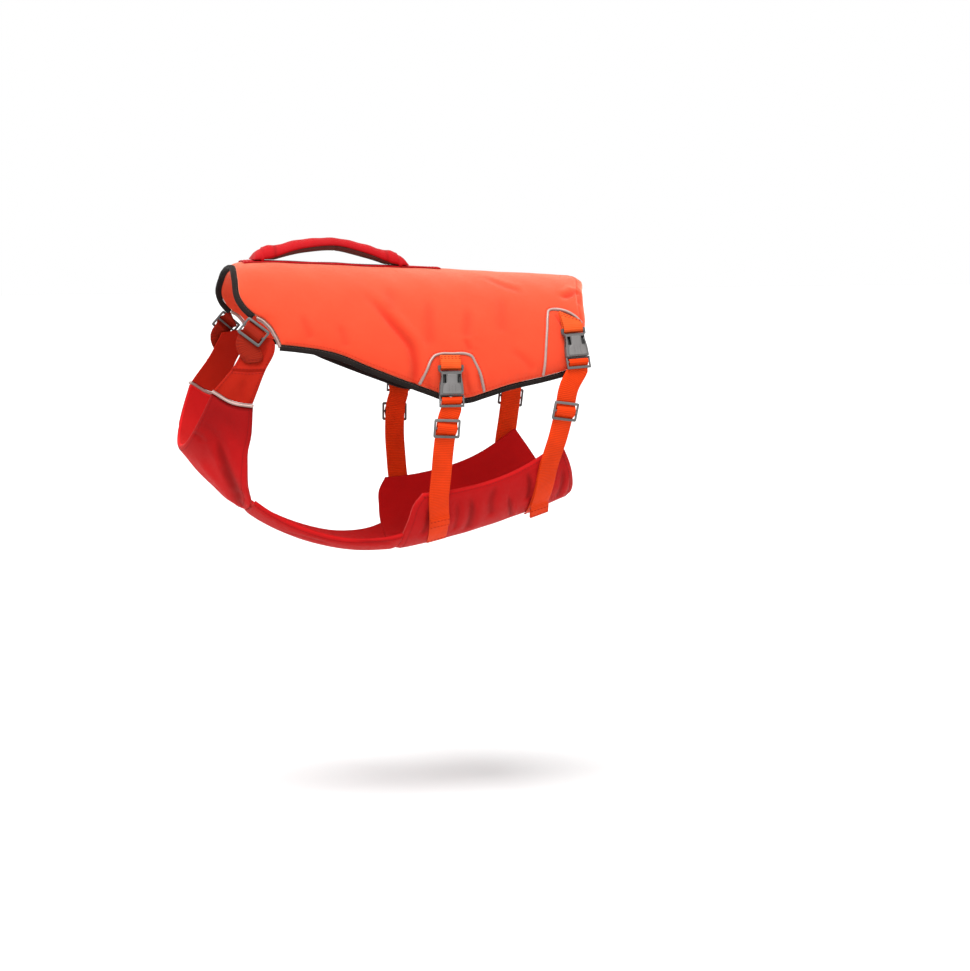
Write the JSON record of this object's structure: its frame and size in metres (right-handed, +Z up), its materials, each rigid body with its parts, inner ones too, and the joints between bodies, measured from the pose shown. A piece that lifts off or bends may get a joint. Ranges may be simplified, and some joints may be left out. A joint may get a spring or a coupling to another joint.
{
  "type": "dog life jacket",
  "caption": "Dog's swim jacket as worn: padded saddle with a back handle, chest and belly panels, webbing straps with side-release buckles, open at neck, legs and tail.",
  "frame": {"origin": "on the wearer's back: the inner face of the saddle on the spine, under the middle of the jacket, just behind the handle's middle", "axes": "+Z up; -Y towards the wearer's head, +Y towards its tail; +X the wearer's left side"},
  "size_m": [0.2248, 0.4067, 0.312],
  "materials": {
    "orange_cloth": "fine plain-weave nylon over foam, matt",
    "red_cloth": "stretch cloth over thin padding, matt",
    "tab_cloth": "plain-weave cloth, matt",
    "orange_webbing": "flat woven webbing, slight sheen",
    "dark_tape": "ribbed binding tape, matt",
    "reflective_piping": "grey reflective piping, satin",
    "grey_plastic": "moulded, satin",
    "handle_red": "webbing and grip cloth, matt"
  },
  "bodies": {
    "root": {"saddle": "orange_cloth", "chest_panel": "red_cloth", "sternum_strip": "red_cloth", "belly_panel": "red_cloth", "neck_tab_left": "tab_cloth", "neck_tab_right": "tab_cloth", "neck_webbing_left": "orange_webbing", "neck_webbing_right": "orange_webbing", "loop_mid_left": "orange_webbing", "loop_mid_right": "orange_webbing", "loop_rear_left": "orange_webbing", "loop_rear_right": "orange_webbing", "strap_mid_left": "orange_webbing", "strap_mid_right": "orange_webbing", "strap_rear_left": "orange_webbing", "strap_rear_right": "orange_webbing", "binding_left": "dark_tape", "binding_right": "dark_tape", "binding_neck": "dark_tape", "handle_lining": "dark_tape", "piping_front_left": "reflective_piping", "piping_front_right": "reflective_piping", "piping_chest_left": "reflective_piping", "piping_chest_right": "reflective_piping", "piping_mid_left": "reflective_piping", "piping_mid_right": "reflective_piping", "piping_rear_left": "reflective_piping", "piping_rear_right": "reflective_piping", "neck_slider_left": "grey_plastic", "neck_slider_right": "grey_plastic", "socket_mid_left": "grey_plastic", "socket_mid_right": "grey_plastic", "socket_rear_left": "grey_plastic", "socket_rear_right": "grey_plastic", "plug_mid_left": "grey_plastic", "plug_mid_right": "grey_plastic", "plug_rear_left": "grey_plastic", "plug_rear_right": "grey_plastic", "glide_mid_left": "grey_plastic", "glide_mid_right": "grey_plastic", "glide_rear_left": "grey_plastic", "glide_rear_right": "grey_plastic", "handle_tape": "handle_red", "handle_grip": "handle_red"}
  },
  "joints": []
}
